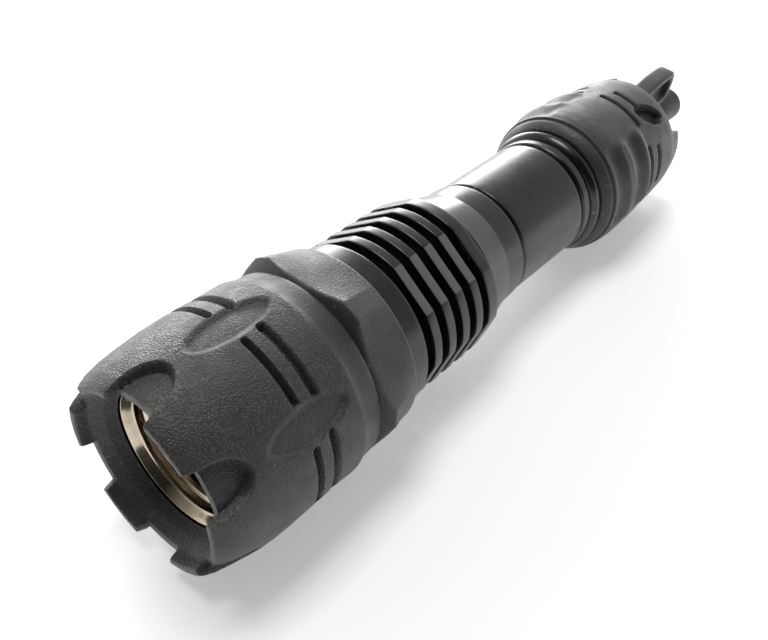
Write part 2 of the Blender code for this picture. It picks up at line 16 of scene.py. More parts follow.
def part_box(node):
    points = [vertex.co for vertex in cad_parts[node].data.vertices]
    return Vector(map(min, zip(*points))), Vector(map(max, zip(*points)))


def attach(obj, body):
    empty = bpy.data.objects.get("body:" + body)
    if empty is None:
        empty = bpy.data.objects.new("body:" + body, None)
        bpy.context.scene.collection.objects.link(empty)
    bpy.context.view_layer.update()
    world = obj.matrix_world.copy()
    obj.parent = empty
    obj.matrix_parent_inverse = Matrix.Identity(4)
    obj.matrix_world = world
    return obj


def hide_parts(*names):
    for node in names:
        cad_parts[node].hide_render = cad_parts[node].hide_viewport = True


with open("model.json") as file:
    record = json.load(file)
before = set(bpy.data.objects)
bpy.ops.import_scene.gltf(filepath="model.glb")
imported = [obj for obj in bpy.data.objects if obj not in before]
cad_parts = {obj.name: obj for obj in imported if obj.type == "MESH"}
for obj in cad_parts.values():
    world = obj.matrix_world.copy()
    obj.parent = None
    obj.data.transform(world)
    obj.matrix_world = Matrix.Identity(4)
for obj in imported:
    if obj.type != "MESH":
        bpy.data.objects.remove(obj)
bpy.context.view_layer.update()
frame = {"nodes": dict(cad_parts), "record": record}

MM = 0.001
tube_low, tube_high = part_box("battery_tube")
AXIS_Z = (tube_low.z + tube_high.z) / 2 / MM
TUBE_R = (tube_high.z - tube_low.z) / 2 / MM
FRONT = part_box("head_boot")[1].x / MM
COLLAR_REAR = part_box("head_boot")[0].x / MM
BUTTON_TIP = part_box("switch_button")[0].x / MM
BOOT_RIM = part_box("tail_boot")[0].x / MM
THREAD_R = 11.4
THREAD_PITCH, THREAD_DEPTH = 1.0, 0.42
THREAD_STEP = 0.125  # spacing of the rings along a thread
SLEEVE_R = 15.6  # of the head housing under its boot

RUBBER_STEP = 0.26  # spacing of the rings in a rubber boot's mesh
BOOT_SEGMENTS = 600
METAL_SEGMENTS = 360
NEAR_FLAT = 0.96  # share by which points past an opening's edge are drawn back, so none coincide


# ---------------------------------------------------------------- shaping tools


def smooth(low, high, value):
    share = np.clip((value - low) / (high - low), 0.0, 1.0)
    return share * share * (3 - 2 * share)


def wrap(angle):
    return (angle + pi) % tau - pi


def nearest_of(turns, count, first):
    """Angle from the nearest of the evenly spaced directions that start at first degrees."""
    pitch = tau / count
    return (turns - radians(first) + pitch / 2) % pitch - pitch / 2


def soft_min(first, second, width):
    """The smaller of two values, with the corner between them rounded over the width."""
    blend = np.clip(0.5 + 0.5 * (second - first) / width, 0.0, 1.0)
    return second * (1 - blend) + first * blend - width * blend * (1 - blend)


def inside(edge, softness):
    """1 inside an outline and 0 outside it, from a signed distance that is negative inside."""
    return smooth(softness, -softness, edge)


def ellipse_edge(along, across, half_length, half_width):
    value = (along / half_length) ** 2 + (across / half_width) ** 2
    slope = 2 * np.hypot(along / half_length**2, across / half_width**2)
    return (value - 1) / np.maximum(slope, 1e-6)


def bar_edge(along, across, half_width, half_length):
    """Distance from a bar with round ends that lies crosswise to the axis."""
    past_end = np.maximum(np.abs(across) - (half_length - half_width), 0.0)
    return np.hypot(along, past_end) - half_width


def fine_path(corners, step):
    """Rounds each corner that gives a third value by that much, then adds points in between."""
    path = []
    last = len(corners) - 1
    for index, corner in enumerate(corners):
        here = np.array(corner[:2], float)
        reach = corner[2] if len(corner) > 2 else 0.0
        if not reach or index in (0, last):
            path.append(here)
            continue
        before = np.array(corners[index - 1][:2], float) - here
        after = np.array(corners[index + 1][:2], float) - here
        start = here + before / np.linalg.norm(before) * min(reach, np.linalg.norm(before) / 2)
        end = here + after / np.linalg.norm(after) * min(reach, np.linalg.norm(after) / 2)
        for share in np.linspace(0, 1, 5):
            path.append(start * (1 - share) ** 2 + here * 2 * share * (1 - share) + end * share**2)
    fine = [path[0]]
    for point in path[1:]:
        count = max(int(np.ceil(np.linalg.norm(point - fine[-1]) / step)), 1)
        start = fine[-1]
        for part in range(1, count + 1):
            fine.append(start + (point - start) * part / count)
    return np.array(fine)


def blurred(stations, values, spread):
    """A smooth curve through a coarse outline: linear, then averaged over a short spread."""
    shifts = np.linspace(-spread, spread, 9)

    def radius_at(x):
        return sum(np.interp(x + shift, stations, values) for shift in shifts) / len(shifts)

    return radius_at


# ---------------------------------------------------------------- meshes


def add_object(name, points, faces, sharp_angle):
    mesh = bpy.data.meshes.new(name)
    mesh.from_pydata(points, [], faces)
    mesh.update()
    mesh.shade_smooth()
    if sharp_angle:
        mesh.set_sharp_from_angle(angle=radians(sharp_angle))
    piece = bpy.data.objects.new(name, mesh)
    bpy.context.scene.collection.objects.link(piece)
    return piece


def skin(name, path, segments, sharp_angle, shape=None):
    """Turns a path of (station, radius) about the axis into a closed skin.

    The path runs along the outside towards the front and back along the inside, or ends on
    the axis at both ends. A shape function may move the points; it takes and gives stations
    and radii, with the angles as a row.
    """
    turns = np.arange(segments) * tau / segments
    x = np.repeat(path[:, :1], segments, axis=1)
    r = np.repeat(path[:, 1:], segments, axis=1)
    if shape:
        x, r = shape(x, r, turns[None, :])
    grid = np.stack([x, r * np.sin(turns), AXIS_Z + r * np.cos(turns)], axis=2) * MM
    on_axis = path[0, 1] == 0 and path[-1, 1] == 0
    if on_axis:
        grid = grid[1:-1]
    rows = len(grid)
    index = np.arange(rows * segments).reshape(rows, segments)
    if not on_axis:
        index = np.vstack([index, index[:1]])
    beside = np.roll(index, -1, axis=1)
    quads = np.stack([index[:-1], beside[:-1], beside[1:], index[1:]], axis=2).reshape(-1, 4)
    points = grid.reshape(-1, 3).tolist()
    faces = quads.tolist()
    if on_axis:
        for end, station in ((0, path[0, 0]), (-1, path[-1, 0])):
            pole = len(points)
            points.append((station * MM, 0.0, AXIS_Z * MM))
            for start, stop in zip(index[end].tolist(), beside[end].tolist()):
                faces.append([stop, start, pole] if end == 0 else [start, stop, pole])
    piece = add_object(name, points, faces, sharp_angle)
    if signed_volume(piece.data) < 0:
        piece.data.flip_normals()
    return piece


def signed_volume(mesh):
    mesh.calc_loop_triangles()
    corners = np.zeros(len(mesh.vertices) * 3)
    mesh.vertices.foreach_get("co", corners)
    corners = corners.reshape(-1, 3)
    corners -= corners.mean(0)
    triangles = np.zeros(len(mesh.loop_triangles) * 3, int)
    mesh.loop_triangles.foreach_get("vertices", triangles)
    a, b, c = corners[triangles.reshape(-1, 3)].transpose(1, 0, 2)
    return float(np.einsum("ij,ij->i", a, np.cross(b, c)).sum())


def place(piece, material, body, slot, *nodes):
    """Gives a finished piece its material and its body, and hides the CAD nodes that it stands for.
    """
    piece.data.materials.append(material)
    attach(piece, body)
    if nodes:
        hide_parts(*nodes)
    return piece


# ---------------------------------------------------------------- materials


class Shader:
    """A material whose nodes are made one line at a time."""

    def __init__(self, name, colour, roughness, metallic=0.0, **inputs):
        self.material = bpy.data.materials.new(name)
        self.material.use_nodes = True
        self.tree = self.material.node_tree
        self.surface = self.tree.nodes["Principled BSDF"]
        self.surface.inputs["Base Color"].default_value = (*colour, 1.0)
        self.surface.inputs["Roughness"].default_value = roughness
        self.surface.inputs["Metallic"].default_value = metallic
        for socket, value in inputs.items():
            self.surface.inputs[socket.replace("_", " ")].default_value = value
        self.coordinates = self.node("ShaderNodeTexCoord").outputs["Object"]

    def node(self, kind, **settings):
        made = self.tree.nodes.new(kind)
        for setting, value in settings.items():
            setattr(made, setting, value)
        return made

    def join(self, source, target):
        self.tree.links.new(source, target)

    def stretched(self, scale):
        mapping = self.node("ShaderNodeMapping")
        mapping.inputs["Scale"].default_value = scale
        self.join(self.coordinates, mapping.inputs["Vector"])
        return mapping.outputs["Vector"]

    def noise(self, scale, detail=2.0, roughness=0.5, vector=None):
        noise = self.node("ShaderNodeTexNoise")
        noise.inputs["Scale"].default_value = scale
        noise.inputs["Detail"].default_value = detail
        noise.inputs["Roughness"].default_value = roughness
        self.join(vector or self.coordinates, noise.inputs["Vector"])
        return noise.outputs["Fac"]

    def cells(self, scale, feature="F1"):
        cells = self.node("ShaderNodeTexVoronoi", feature=feature)
        cells.inputs["Scale"].default_value = scale
        self.join(self.coordinates, cells.inputs["Vector"])
        return cells.outputs["Distance"]

    def spread(self, source, low, high, to_low=0.0, to_high=1.0):
        reach = self.node("ShaderNodeMapRange", clamp=True)
        for socket, value in zip(
            ("From Min", "From Max", "To Min", "To Max"), (low, high, to_low, to_high)
        ):
            reach.inputs[socket].default_value = value
        self.join(source, reach.inputs["Value"])
        return reach.outputs["Result"]

    def maths(self, operation, first, second):
        maths = self.node("ShaderNodeMath", operation=operation)
        for socket, value in zip(maths.inputs, (first, second)):
            if isinstance(value, (int, float)):
                socket.default_value = value
            else:
                self.join(value, socket)
        return maths.outputs["Value"]

    def mix(self, share, first, second):
        mix = self.node("ShaderNodeMix", data_type="RGBA")
        self.join(share, mix.inputs[0])
        for socket, value in ((mix.inputs[6], first), (mix.inputs[7], second)):
            if isinstance(value, tuple):
                socket.default_value = (*value, 1.0)
            else:
                self.join(value, socket)
        return mix.outputs[2]

    def edges(self, low, high):
        """From low to high pointiness: about 0.5 on a flat, more on an edge, less in a hollow."""
        pointiness = self.node("ShaderNodeNewGeometry").outputs["Pointiness"]
        return self.spread(pointiness, low, high)

    def along_axis(self, start, end, at_start=0.0):
        """Goes from at_start to 1 between two stations along the light's axis."""
        apart = self.node("ShaderNodeSeparateXYZ")
        self.join(self.coordinates, apart.inputs[0])
        return self.spread(apart.outputs["X"], start * MM, end * MM, at_start)

    def facing_up(self, low, high):
        """1 on surfaces that face up as the piece rests, 0 on its sides and underneath."""
        apart = self.node("ShaderNodeSeparateXYZ")
        self.join(self.node("ShaderNodeTexCoord").outputs["Normal"], apart.inputs[0])
        return self.spread(apart.outputs["Z"], low, high)

    def colour(self, source):
        self.join(source, self.surface.inputs["Base Color"])

    def roughness(self, source):
        self.join(source, self.surface.inputs["Roughness"])

    def bump(self, source, strength, distance, onto=None):
        bump = self.node("ShaderNodeBump")
        bump.inputs["Strength"].default_value = strength
        bump.inputs["Distance"].default_value = distance * MM
        self.join(source, bump.inputs["Height"])
        if onto:
            self.join(onto, bump.inputs["Normal"])
        self.join(bump.outputs["Normal"], self.surface.inputs["Normal"])
        return bump.outputs["Normal"]


def cord_hole_shade(shader):
    """Mask of painted shade: 1 deep in the tail boot's cord hole, part of that on the bowl's floor,
    and 0 elsewhere.
    """
    across = shader.node("ShaderNodeMapping")
    across.inputs["Location"].default_value = (0.0, 0.0, -AXIS_Z * MM)
    across.inputs["Scale"].default_value = (0.0, 1.0, 1.0)
    shader.join(shader.coordinates, across.inputs["Vector"])
    from_axis = shader.node("ShaderNodeVectorMath", operation="LENGTH")
    shader.join(across.outputs["Vector"], from_axis.inputs[0])
    shallow_r, deep_r = HOLE_FLOOR_R + 0.95, HOLE_FLOOR_R + 0.35
    deep = shader.spread(from_axis.outputs["Value"], shallow_r * MM, deep_r * MM)
    past_rear = shader.along_axis(HOLE_SHADE_REAR, HOLE_SHADE_REAR + 1.0)
    before_front = shader.along_axis(HOLE_SHADE_FRONT, HOLE_SHADE_FRONT - 1.0)
    near = shader.maths("MULTIPLY", past_rear, before_front)
    return shader.maths("MULTIPLY", deep, near)


def rubber(name, dark, light, worn, grain=1.0):
    """Moulded rubber: dusty, with paler worn edges, and pebbled most on the head's barrel; painted
    light lightens the faces that point up, and painted shade darkens hollows and the tail boot's
    cord hole.
    """
    gloss = {"Specular_IOR_Level": 0.65, "Sheen_Weight": 0.25, "Sheen_Roughness": 0.4}
    shader = Shader(name, dark, 0.55, **gloss)
    patches = shader.spread(shader.noise(110, 4.0, 0.6), 0.35, 0.7)
    base = shader.mix(patches, dark, light)
    pebbles = shader.spread(shader.cells(2700), 0.6, 0.12)
    fine = shader.noise(4200, 2.0, 0.6)
    dusty = shader.maths("MULTIPLY", shader.spread(shader.noise(420, 5.0, 0.7), 0.5, 0.72), pebbles)
    base = shader.mix(shader.maths("MULTIPLY", dusty, 0.45), base, worn)
    scuffed = shader.spread(shader.noise(900), 0.3, 0.7)
    rim = shader.maths("MULTIPLY", shader.edges(0.508, 0.56), scuffed)
    base = shader.mix(shader.maths("MULTIPLY", rim, 0.7), base, worn)
    # painted shade: concave places are darkened towards a quarter of the dark colour
    hollow = shader.edges(0.485, 0.43)
    base = shader.mix(shader.maths("MULTIPLY", hollow, 0.8), base, tuple(0.25 * c for c in dark))
    # painted light: faces that point up are lightened towards the worn colour, by a share that
    # varies with the pebbles
    top_light_share = shader.spread(pebbles, 0.0, 1.0, 0.18, 0.34)
    top_light = shader.maths("MULTIPLY", shader.facing_up(0.3, 1.0), top_light_share)
    base = shader.mix(top_light, base, worn)
    specks = shader.spread(shader.cells(1150), 0.13, 0.07)
    rare = shader.spread(shader.noise(160, 2.0), 0.54, 0.64)
    sand = shader.maths("MULTIPLY", shader.maths("MULTIPLY", specks, rare), 0.7)
    base = shader.mix(sand, base, (0.34, 0.29, 0.22))
    # painted shade: the rubber goes near black in the cord hole and on the bowl's floor beside it
    base = shader.mix(cord_hole_shade(shader), base, (0.002, 0.002, 0.002))
    shader.colour(base)
    shader.roughness(shader.spread(shader.noise(300, 3.0), 0.3, 0.7, 0.42, 0.6))
    raised = shader.along_axis(PEBBLES_X, PEBBLES_X + 2.0, 0.5)
    height = shader.maths("MULTIPLY", pebbles, raised)
    coarse = shader.bump(shader.noise(300, 3.0), 0.12 * grain, 0.2)
    sandy = shader.bump(fine, 0.5 * grain, 0.06, onto=coarse)
    shader.bump(height, 0.85 * grain, 0.09, onto=sandy)
    return shader.material


def on_fin_flats(shader):
    """1 on the milled flats of the head's fins and 0 elsewhere."""
    centred = shader.node("ShaderNodeVectorMath", operation="SUBTRACT")
    centred.inputs[1].default_value = (0.0, 0.0, AXIS_Z * MM)
    shader.join(shader.coordinates, centred.inputs[0])
    reach = 0.0
    for index in range(FIN_FLATS):
        turn = radians(FLAT_TURN) + tau * index / FIN_FLATS
        along = shader.node("ShaderNodeVectorMath", operation="DOT_PRODUCT")
        along.inputs[1].default_value = (0.0, sin(turn), cos(turn))
        shader.join(centred.outputs["Vector"], along.inputs[0])
        reach = shader.maths("MAXIMUM", along.outputs["Value"], reach)
    low, high = (FLAT_APOTHEM - 0.07) * MM, (FLAT_APOTHEM - 0.03) * MM
    behind_front = shader.along_axis(FIN_FRONTS[-1] + 1.5, FIN_FRONTS[-1] + 1.0)
    return shader.maths("MULTIPLY", shader.spread(reach, low, high), behind_front)


def anodised(name, colour=(0.006, 0.006, 0.0065), roughness=0.26):
    """Black anodised aluminium: turning marks, smears, bare sharp edges, and matt milled flats
    lightened by painted reflection.
    """
    shader = Shader(name, colour, roughness, IOR=1.65)
    flats = on_fin_flats(shader)
    turning = shader.noise(40, 3.0, 0.6, shader.stretched((130.0, 1.5, 1.5)))
    smears = shader.noise(140, 4.0, 0.65)
    polish = shader.spread(smears, 0.35, 0.75, roughness - 0.05, roughness + 0.12)
    polish = shader.maths("ADD", polish, shader.spread(turning, 0.3, 0.7, -0.02, 0.03))
    shader.roughness(shader.maths("ADD", polish, shader.maths("MULTIPLY", flats, 0.25)))
    worn_here = shader.spread(shader.noise(700, 3.0), 0.5, 0.7)
    chipped = shader.maths("MULTIPLY", shader.edges(0.56, 0.68), worn_here)
    # painted reflection: the fin flats are lightened to a mid grey
    base = shader.mix(flats, colour, (0.13, 0.126, 0.12))
    shader.colour(shader.mix(chipped, base, (0.32, 0.32, 0.33)))
    shader.bump(turning, 0.06, 0.02)
    return shader.material


def metal(name, colour, roughness, turned=True):
    wear = 0.08  # how far the roughness varies
    shader = Shader(name, colour, roughness, 1.0)
    grain = (160.0, 2.0, 2.0) if turned else (1.0, 1.0, 1.0)
    marks = shader.noise(45, 3.0, 0.6, shader.stretched(grain))
    stain = shader.spread(shader.noise(260, 4.0, 0.6), 0.35, 0.7)
    darker = tuple(value * 0.72 for value in colour)
    shader.colour(shader.mix(stain, colour, darker))
    shader.roughness(shader.spread(marks, 0.3, 0.7, max(roughness - wear, 0.02), roughness + wear))
    shader.bump(marks, 0.12, 0.02)
    return shader.material


def plastic(name, colour, roughness, bump=0.15, **inputs):
    shader = Shader(name, colour, roughness, **inputs)
    marks = shader.noise(900, 3.0)
    lighter = tuple(min(value * 1.25 + 0.004, 1.0) for value in colour)
    shader.colour(shader.mix(shader.spread(shader.noise(150, 3.0), 0.35, 0.7), colour, lighter))
    shader.roughness(shader.spread(marks, 0.3, 0.7, max(roughness - 0.06, 0.02), roughness + 0.06))
    shader.bump(marks, bump, 0.04)
    return shader.material


def mirror_cup(name):
    """Vapour-coated aluminium with the fine orange peel that smooths the beam."""
    shader = Shader(name, (0.6, 0.54, 0.48), 0.08, 1.0)
    shader.bump(shader.noise(420, 1.0), 0.012, 0.03)
    shader.roughness(shader.spread(shader.noise(220, 3.0), 0.4, 0.7, 0.06, 0.14))
    return shader.material


def clear_glass(name):
    shader = Shader(name, (0.98, 0.99, 1.0), 0.01, Transmission_Weight=1.0, IOR=1.45)
    shader.roughness(shader.spread(shader.noise(90, 3.0), 0.45, 0.75, 0.0, 0.05))
    return shader.material


def circuit(name):
    """Green solder mask that is lighter where it covers the traces."""
    mask, covered_trace = (0.02, 0.16, 0.07), (0.07, 0.3, 0.12)
    shader = Shader(name, mask, 0.3)
    traces = shader.spread(shader.cells(420, "DISTANCE_TO_EDGE"), 0.06, 0.03)
    shader.colour(shader.mix(traces, mask, covered_trace))
    shader.bump(traces, 0.4, 0.04)
    return shader.material


def make_materials():
    return {
        "grip_rubber": rubber(
            "grip_rubber", (0.02, 0.0193, 0.0178), (0.031, 0.03, 0.0275), (0.13, 0.121, 0.105)
        ),
        "black_anodised": anodised("black_anodised"),
        "bezel_steel": metal("bezel_steel", (0.68, 0.58, 0.46), 0.16),
        "lens_glass": clear_glass("lens_glass"),
        "dome_glass": clear_glass("dome_glass"),
        "reflector_bright": mirror_cup("reflector_bright"),
        "phosphor": plastic("phosphor", (0.85, 0.62, 0.08), 0.4),
        "white_plastic": plastic("white_plastic", (0.78, 0.78, 0.75), 0.45),
        "circuit_board": circuit("circuit_board"),
        "bare_aluminium": metal("bare_aluminium", (0.78, 0.79, 0.8), 0.32),
        "gold": metal("gold", (0.83, 0.6, 0.25), 0.22, turned=False),
        "led_wire_red": plastic("led_wire_red", (0.55, 0.02, 0.02), 0.4),
        "led_wire_black": plastic("led_wire_black", (0.015, 0.015, 0.015), 0.4),
        "seal_rubber": plastic("seal_rubber", (0.012, 0.012, 0.012), 0.5, 0.3),
        "battery_wrap": plastic("battery_wrap", (0.03, 0.12, 0.42), 0.25, 0.1, Coat_Weight=0.4),
        "battery_metal": metal("battery_metal", (0.72, 0.7, 0.66), 0.22),
        "brass": metal("brass", (0.78, 0.58, 0.27), 0.28),
        "switch_plastic": plastic("switch_plastic", (0.02, 0.02, 0.02), 0.4),
        "spring_steel": metal("spring_steel", (0.6, 0.6, 0.6), 0.2, turned=False),
        "button_rubber": rubber(
            "button_rubber",
            (0.005, 0.0045, 0.0042),
            (0.01, 0.0075, 0.0066),
            (0.03, 0.022, 0.02),
            0.5,
        ),
    }


# ---------------------------------------------------------------- head boot

GRIP_REPEATS = 6  # how often the pockets, dimples and slots come round a boot
POCKET_TURN = 6.5
POCKET_X = 81.4  # the widest place of a pocket, which runs on to the front from there
POCKET_HALF_LENGTH, POCKET_HALF_WIDTH = 5.9, 4.15
DIMPLE_TURN = 5.5
DIMPLE_X, DIMPLE_HALF_LENGTH, DIMPLE_HALF_WIDTH, DIMPLE_DEPTH = 64.2, 8.3, 3.3, 0.7
GRIP_TURN = 36.0
GRIP_SLOTS = (  # station, half width, half length, depth, softness of the edge
    (64.8, 0.5, 6.6, 1.7, 0.2),
    (61.0, 0.72, 7.3, 1.8, 0.24),
)
PEBBLES_X = 52.8  # the rubber's pebbles rise to their full height in front of this
COLLAR_FLATS = 6
COLLAR_TURN = 5.0  # direction of the collar's first flat
COLLAR_FRONT = 47.9
COLLAR_APOTHEM, COLLAR_CORNER = 18.4, 20.2  # of the flats and of the corners' narrow faces
COLLAR_REAR_R = 17.9
COLLAR_ROUNDING = 0.5
SHOULDER_X, SHOULDER_R = 49.4, 18.35  # where the barrel ends and the cone up to the collar begins
CONE_SLOPE = 1.3
GROOVE_DEPTH, GROOVE_SPREAD = 0.5, 0.32  # of the groove round the shoulder
CROWN_WALL_R = 16.3
CROWN_WALL_TAPER = 0.09
CROWN_WALL_X = 81.7  # front of the thin walls between the crown's lands

barrel = blurred(
    [SHOULDER_X, 50.3, 52.4, 53.6, 54.4, 59.7, 63.5, 67.0, 70.8, 76.2, 79.0, 81.6, 83.4, FRONT],
    [SHOULDER_R, 18.5, 18.62, 18.85, 19.32, 19.42, 19.55, 19.58]
    + [19.5, 19.05, 18.7, 18.15, 17.45, 17.0],
    0.38,
)


def shape_head_boot(x, r, turns):
    outer = (r > SLEEVE_R + 1.3) & (x < FRONT - 0.02)
    cone = SHOULDER_R + CONE_SLOPE * (SHOULDER_X - x)
    body = np.where(x > SHOULDER_X, barrel(x), np.minimum(cone, 22.0))

    # six flats with narrow faces between them at the collar's front, a circle at its rear
    facet = nearest_of(turns, COLLAR_FLATS, COLLAR_TURN)
    corners = COLLAR_CORNER / np.cos(pi / COLLAR_FLATS - np.abs(facet))
    flats = soft_min(COLLAR_APOTHEM / np.cos(facet), corners, 0.1)
    rise = (x - COLLAR_REAR) / (COLLAR_FRONT - COLLAR_REAR)
    collar = COLLAR_REAR_R + (flats - COLLAR_REAR_R) * rise
    short_of_full = COLLAR_ROUNDING - np.clip(x - COLLAR_REAR, 0.0, COLLAR_ROUNDING)
    rounded = np.sqrt(np.maximum(COLLAR_ROUNDING**2 - short_of_full**2, 0.0))
    collar = collar - COLLAR_ROUNDING + rounded
    body = soft_min(body, collar + 6.0 * smooth(49.7, 50.5, x), 0.12)
    body = body - GROOVE_DEPTH * np.exp(-(((x - SHOULDER_X) / GROOVE_SPREAD) ** 2))

    arc = body * nearest_of(turns, GRIP_REPEATS, DIMPLE_TURN)
    dimple = ellipse_edge(x - DIMPLE_X, arc, DIMPLE_HALF_LENGTH, DIMPLE_HALF_WIDTH)
    arc = body * nearest_of(turns, GRIP_REPEATS, GRIP_TURN)
    slots = 0.0
    for station, half_width, half_length, depth, softness in GRIP_SLOTS:
        slot = inside(bar_edge(x - station, arc, half_width, half_length), softness)
        slots = np.maximum(slots, depth * slot)
    beside_dimple = inside(-dimple - 0.5, 0.3)
    body = body - slots * beside_dimple - DIMPLE_DEPTH * inside(dimple + 0.5, 0.8)

    arc = body * nearest_of(turns, GRIP_REPEATS, POCKET_TURN)
    round_end = ellipse_edge(x - POCKET_X, arc, POCKET_HALF_LENGTH, POCKET_HALF_WIDTH)
    pocket = np.where(x < POCKET_X, round_end, np.abs(arc) - POCKET_HALF_WIDTH)
    floor = CROWN_WALL_R + CROWN_WALL_TAPER * (FRONT - x)
    in_pocket = inside(pocket, 0.2)
    body = body * (1 - in_pocket) + floor * in_pocket
    r = np.where(outer, np.minimum(r, body), r)

    arc = r * nearest_of(turns, GRIP_REPEATS, POCKET_TURN)
    between_lands = inside(np.abs(arc) - (POCKET_HALF_WIDTH - 0.05), 0.4)
    past_wall = np.maximum(x - CROWN_WALL_X, 0.0)
    return x - NEAR_FLAT * past_wall * between_lands, r


def head_boot(shades):
    throat_x, throat_r = 77.95, 12.9
    path = fine_path(
        [
            (COLLAR_REAR, 16.05),
            (COLLAR_REAR, 17.0),
            (COLLAR_REAR + 0.02, 20.6),
            (48.2, 20.6),
            (FRONT - 1.6, 20.6),
            (FRONT - 0.45, 17.9, 0.3),
            (FRONT, 16.95, 0.35),
            (FRONT, 15.9, 0.35),
            (81.9, 15.5, 0.4),
            (79.9, 13.95, 0.2),
            (78.3, throat_r + 0.25, 0.2),
            (throat_x, throat_r, 0.1),
            (throat_x, 15.9),
            (60.0, 15.95),
            (COLLAR_REAR, 15.95),
        ],
        RUBBER_STEP,
    )
    boot = skin("head_boot_skin", path, BOOT_SEGMENTS, 60.0, shape_head_boot)
    place(boot, shades["grip_rubber"], "head", "grip_rubber", "head_boot")


# ---------------------------------------------------------------- head metal

FIN_FRONTS = (21.0, 25.0, 29.0, 33.0)
FIN_THICKNESS = 2.0
FIN_R, FIN_ROOT_R = 16.5, 12.6
FIN_FLATS = 5
FLAT_TURN = 44.5
FLAT_APOTHEM = 15.8


def shape_housing(x, r, turns):
    facet = nearest_of(turns, FIN_FLATS, FLAT_TURN)
    flat = np.where(np.abs(facet) < radians(20), FLAT_APOTHEM / np.cos(facet), 30.0)
    cut = (x < FIN_FRONTS[-1] + 0.3) & (x > 13.2)
    # the bevels of a fin follow its flats, so each ring is clipped by its own depth below the fin
    inset = np.clip(FIN_R - r, 0.0, 0.25)
    return x, np.where(cut, np.minimum(r, flat - inset), r)


def head_housing(shades):
    corners = [(0.15, 11.75), (0.15, 12.45, 0.1), (0.75, 12.95, 0.2), (6.2, 13.2, 0.1)]
    corners += [(6.35, 13.42, 0.12), (13.3, 15.1, 0.3), (13.7, 15.75, 0.2), (14.2, 16.3, 0.25)]
    corners += [(17.0, 16.45, 0.25)]
    for front in FIN_FRONTS:
        rear = front - FIN_THICKNESS
        corners += [(rear - 2.0, FIN_ROOT_R, 0.3), (rear, FIN_ROOT_R, 0.3)]
        corners += [(rear, FIN_R, 0.22), (front, FIN_R, 0.22)]
    corners += [(front, FIN_ROOT_R, 0.3), (35.0, FIN_ROOT_R, 0.3)]
    corners += [(35.0, FIN_R, 0.3), (39.4, FIN_R, 0.2)]
    corners += [(39.4, SLEEVE_R), (76.0, SLEEVE_R), (76.0, 13.6), (36.0, 13.6), (36.0, 9.9)]
    corners += [(14.5, 9.9), (14.5, 11.75)]
    path = fine_path(corners, 0.6)
    housing = skin("head_housing_skin", path, METAL_SEGMENTS, 32.0, shape_housing)
    place(housing, shades["black_anodised"], "head", "black_anodised", "head_housing")


def bezel(shades):
    path = fine_path(
        [
            (72.9, 11.5),
            (72.9, 13.3),
            (76.3, 13.3, 0.1),
            (76.3, 15.3, 0.1),
            (77.6, 15.3, 0.15),
            (77.6, 12.75, 0.1),
            (76.1, 11.95, 0.12),
            (75.9, 11.65, 0.1),
            (75.0, 11.6, 0.1),
            (74.7, 11.75, 0.1),
            (74.3, 11.75, 0.1),
            (73.9, 11.1, 0.1),
        ],
        0.5,
    )
    ring = skin("bezel_ring_skin", path, METAL_SEGMENTS, 30.0)
    place(ring, shades["bezel_steel"], "head", "bezel_steel", "bezel_ring")


def lens(shades):
    path = fine_path(
        [(69.3, 0), (69.3, 13.2, 0.2), (71.3, 13.2, 0.25), (71.3, 0)],
        0.8,
    )
    glass = skin("front_lens_glass", path, 180, 30.0)
    place(glass, shades["lens_glass"], "head", "lens_glass", "front_lens")


REFLECTOR_REAR, REFLECTOR_FRONT = 51.5, 68.0
REFLECTOR_HOLE_R, REFLECTOR_MOUTH_R = 3.4, 12.2


def reflector(shades):
    wall = 0.85
    spread = (REFLECTOR_MOUTH_R**2 - REFLECTOR_HOLE_R**2) / (REFLECTOR_FRONT - REFLECTOR_REAR)
    radii = np.linspace(REFLECTOR_HOLE_R, REFLECTOR_MOUTH_R, 44)
    cup = np.stack([REFLECTOR_REAR + (radii**2 - REFLECTOR_HOLE_R**2) / spread, radii], axis=1)
    flange = np.array([(69.0, REFLECTOR_MOUTH_R + 0.1), (69.0, 13.2), (67.9, 13.2)])
    back = cup[1:][::-1] + np.array([-0.4, wall])
    foot = np.array([(REFLECTOR_REAR, REFLECTOR_HOLE_R + wall)])
    path = np.vstack([cup, flange, back, foot])
    piece = skin("reflector_cup", path, 180, 30.0)
    place(piece, shades["reflector_bright"], "head", "reflector_bright", "reflector")


def led(shades):
    """Ceramic base with a bevelled edge, phosphor under it, and a clear dome."""
    half, bottom, top = 2.2, 50.62, 51.25
    inset = 0.15
    levels = ((bottom, half), (top - inset, half), (top, half - inset))
    corners = ((-1, -1), (1, -1), (1, 1), (-1, 1))
    points = [
        (x * MM, y * size * MM, (AXIS_Z + z * size) * MM) for x, size in levels for y, z in corners
    ]
    faces = [(0, 1, 2, 3), (11, 10, 9, 8)]
    for level in range(2):
        for corner in range(4):
            low, beside = 4 * level + corner, 4 * level + (corner + 1) % 4
            faces.append((beside, low, low + 4, beside + 4))
    base = add_object("led_base", points, faces, 20.0)
    place(base, shades["white_plastic"], "head", "led", "led_emitter")

    phosphor = skin(
        "led_phosphor",
        fine_path([(51.27, 0), (51.27, 1.1), (51.4, 1.1, 0.05), (51.4, 0)], 0.4),
        48,
        30.0,
    )
    place(phosphor, shades["phosphor"], "head", "led")
    rise = np.linspace(0, pi / 2, 14)
    dome = np.stack([51.45 + 1.65 * np.sin(rise), 1.7 * np.cos(rise)], axis=1)
    dome[-1, 1] = 0.0
    path = np.vstack([[(51.27, 0.0)], [(51.27, 1.7)], dome])
    piece = skin("led_dome", path, 64, 30.0)
    place(piece, shades["dome_glass"], "head", "lens_glass")


# ---------------------------------------------------------------- tube


